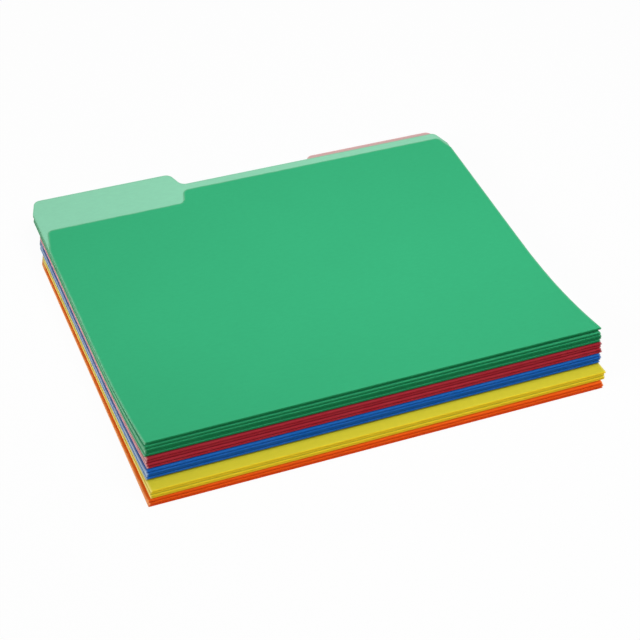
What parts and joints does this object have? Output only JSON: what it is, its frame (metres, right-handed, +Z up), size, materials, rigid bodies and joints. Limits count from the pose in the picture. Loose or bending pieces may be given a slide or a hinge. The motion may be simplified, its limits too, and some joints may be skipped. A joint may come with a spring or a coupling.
{
  "type": "pile of file folders",
  "caption": "Pile of coloured two-tone letter-size file folders with third-cut tabs; each cover opens on its fold.",
  "frame": {"origin": "on the table, under the middle of the pile's bounding box", "axes": "+X along the folds, +Y from the folds towards the tabs, +Z up"},
  "size_m": [0.3026, 0.2602, 0.0339],
  "materials": {
    "orange_card": "matt, with a lighter tint inside",
    "yellow_card": "matt, with a lighter tint inside",
    "blue_card": "matt, with a lighter tint inside",
    "red_card": "matt, with a lighter tint inside",
    "green_card": "matt, with a lighter tint inside"
  },
  "bodies": {
    "bottom_leaf": {"orange_1_back": "orange_card"},
    "orange_1_opened": {"orange_1_cover": "orange_card", "orange_2_back": "orange_card"},
    "orange_2_opened": {"orange_2_cover": "orange_card", "orange_3_back": "orange_card"},
    "orange_3_opened": {"orange_3_cover": "orange_card", "yellow_1_back": "yellow_card"},
    "yellow_1_opened": {"yellow_1_cover": "yellow_card", "yellow_2_back": "yellow_card"},
    "yellow_2_opened": {"yellow_2_cover": "yellow_card", "yellow_3_back": "yellow_card"},
    "yellow_3_opened": {"yellow_3_cover": "yellow_card", "yellow_4_back": "yellow_card"},
    "yellow_4_opened": {"yellow_4_cover": "yellow_card", "blue_1_back": "blue_card"},
    "blue_1_opened": {"blue_1_cover": "blue_card", "blue_2_back": "blue_card"},
    "blue_2_opened": {"blue_2_cover": "blue_card", "blue_3_back": "blue_card"},
    "blue_3_opened": {"blue_3_cover": "blue_card", "blue_4_back": "blue_card"},
    "blue_4_opened": {"blue_4_cover": "blue_card", "red_1_back": "red_card"},
    "red_1_opened": {"red_1_cover": "red_card", "red_2_back": "red_card"},
    "red_2_opened": {"red_2_cover": "red_card", "red_3_back": "red_card"},
    "red_3_opened": {"red_3_cover": "red_card", "red_4_back": "red_card"},
    "red_4_opened": {"red_4_cover": "red_card", "green_1_back": "green_card"},
    "green_1_opened": {"green_1_cover": "green_card", "green_2_back": "green_card"},
    "green_2_opened": {"green_2_cover": "green_card", "green_3_back": "green_card"},
    "green_3_opened": {"green_3_cover": "green_card", "green_4_back": "green_card"},
    "green_4_opened": {"green_4_cover": "green_card"},
    "top_folder": {"green_5_back": "green_card"},
    "top_cover": {"green_5_cover": "green_card"}
  },
  "joints": [
    {"name": "orange_1_fold", "type": "hinge", "parent": "bottom_leaf", "child": "orange_1_opened", "pos_m": [-0.00166, -0.12965, 0.00069], "axis": [1, -0.0028, 0], "range_deg": [0, 9]},
    {"name": "orange_2_fold", "type": "hinge", "parent": "orange_1_opened", "child": "orange_2_opened", "pos_m": [-0.00139, -0.12967, 0.00236], "axis": [1, -0.0028, 0], "range_deg": [0, 9]},
    {"name": "orange_3_fold", "type": "hinge", "parent": "orange_2_opened", "child": "orange_3_opened", "pos_m": [-0.00206, -0.12906, 0.00403], "axis": [1, -0.0028, 0], "range_deg": [0, 9]},
    {"name": "yellow_1_fold", "type": "hinge", "parent": "orange_3_opened", "child": "yellow_1_opened", "pos_m": [0.00016, -0.12762, 0.0057], "axis": [1, 0.0003, 0], "range_deg": [0, 9]},
    {"name": "yellow_2_fold", "type": "hinge", "parent": "yellow_1_opened", "child": "yellow_2_opened", "pos_m": [-0.00023, -0.12786, 0.00737], "axis": [1, 0.0003, 0], "range_deg": [0, 9]},
    {"name": "yellow_3_fold", "type": "hinge", "parent": "yellow_2_opened", "child": "yellow_3_opened", "pos_m": [-0.00037, -0.12724, 0.00903], "axis": [1, 0.0003, 0], "range_deg": [0, 9]},
    {"name": "yellow_4_fold", "type": "hinge", "parent": "yellow_3_opened", "child": "yellow_4_opened", "pos_m": [0.00023, -0.12736, 0.0107], "axis": [1, 0.0003, 0], "range_deg": [0, 9]},
    {"name": "blue_1_fold", "type": "hinge", "parent": "yellow_4_opened", "child": "blue_1_opened", "pos_m": [0.00019, -0.11895, 0.01237], "axis": [1, -0.0005, 0], "range_deg": [0, 9]},
    {"name": "blue_2_fold", "type": "hinge", "parent": "blue_1_opened", "child": "blue_2_opened", "pos_m": [0.00068, -0.11839, 0.01404], "axis": [1, -0.0005, 0], "range_deg": [0, 9]},
    {"name": "blue_3_fold", "type": "hinge", "parent": "blue_2_opened", "child": "blue_3_opened", "pos_m": [0.00069, -0.11864, 0.01571], "axis": [1, -0.0005, 0], "range_deg": [0, 9]},
    {"name": "blue_4_fold", "type": "hinge", "parent": "blue_3_opened", "child": "blue_4_opened", "pos_m": [0.00018, -0.1181, 0.01737], "axis": [1, -0.0005, 0], "range_deg": [0, 9]},
    {"name": "red_1_fold", "type": "hinge", "parent": "blue_4_opened", "child": "red_1_opened", "pos_m": [0.00152, -0.11692, 0.01904], "axis": [1, -0.0016, 0], "range_deg": [0, 9]},
    {"name": "red_2_fold", "type": "hinge", "parent": "red_1_opened", "child": "red_2_opened", "pos_m": [0.00094, -0.1165, 0.02071], "axis": [1, -0.0016, 0], "range_deg": [0, 9]},
    {"name": "red_3_fold", "type": "hinge", "parent": "red_2_opened", "child": "red_3_opened", "pos_m": [0.00106, -0.11533, 0.02238], "axis": [1, -0.0016, 0], "range_deg": [0, 9]},
    {"name": "red_4_fold", "type": "hinge", "parent": "red_3_opened", "child": "red_4_opened", "pos_m": [0.00147, -0.11501, 0.02404], "axis": [1, -0.0016, 0], "range_deg": [0, 9]},
    {"name": "green_1_fold", "type": "hinge", "parent": "red_4_opened", "child": "green_1_opened", "pos_m": [0.00084, -0.11358, 0.02571], "axis": [1, -0.0024, 0], "range_deg": [0, 9]},
    {"name": "green_2_fold", "type": "hinge", "parent": "green_1_opened", "child": "green_2_opened", "pos_m": [0.0015, -0.11295, 0.02738], "axis": [1, -0.0024, 0], "range_deg": [0, 9]},
    {"name": "green_3_fold", "type": "hinge", "parent": "green_2_opened", "child": "green_3_opened", "pos_m": [0.00126, -0.11298, 0.02904], "axis": [1, -0.0024, 0], "range_deg": [0, 9]},
    {"name": "green_4_fold", "type": "hinge", "parent": "green_3_opened", "child": "green_4_opened", "pos_m": [0.00096, -0.11214, 0.03071], "axis": [1, -0.0024, 0], "range_deg": [0, 9]},
    {"name": "top_folder_slide", "type": "slide", "parent": "green_4_opened", "child": "top_folder", "axis": [1, 0, 0], "range_m": [-0.14, 0.14]},
    {"name": "green_5_fold", "type": "hinge", "parent": "top_folder", "child": "top_cover", "pos_m": [0.00164, -0.11099, 0.03339], "axis": [-1, 0, 0], "range_deg": [-180, 0]}
  ]
}
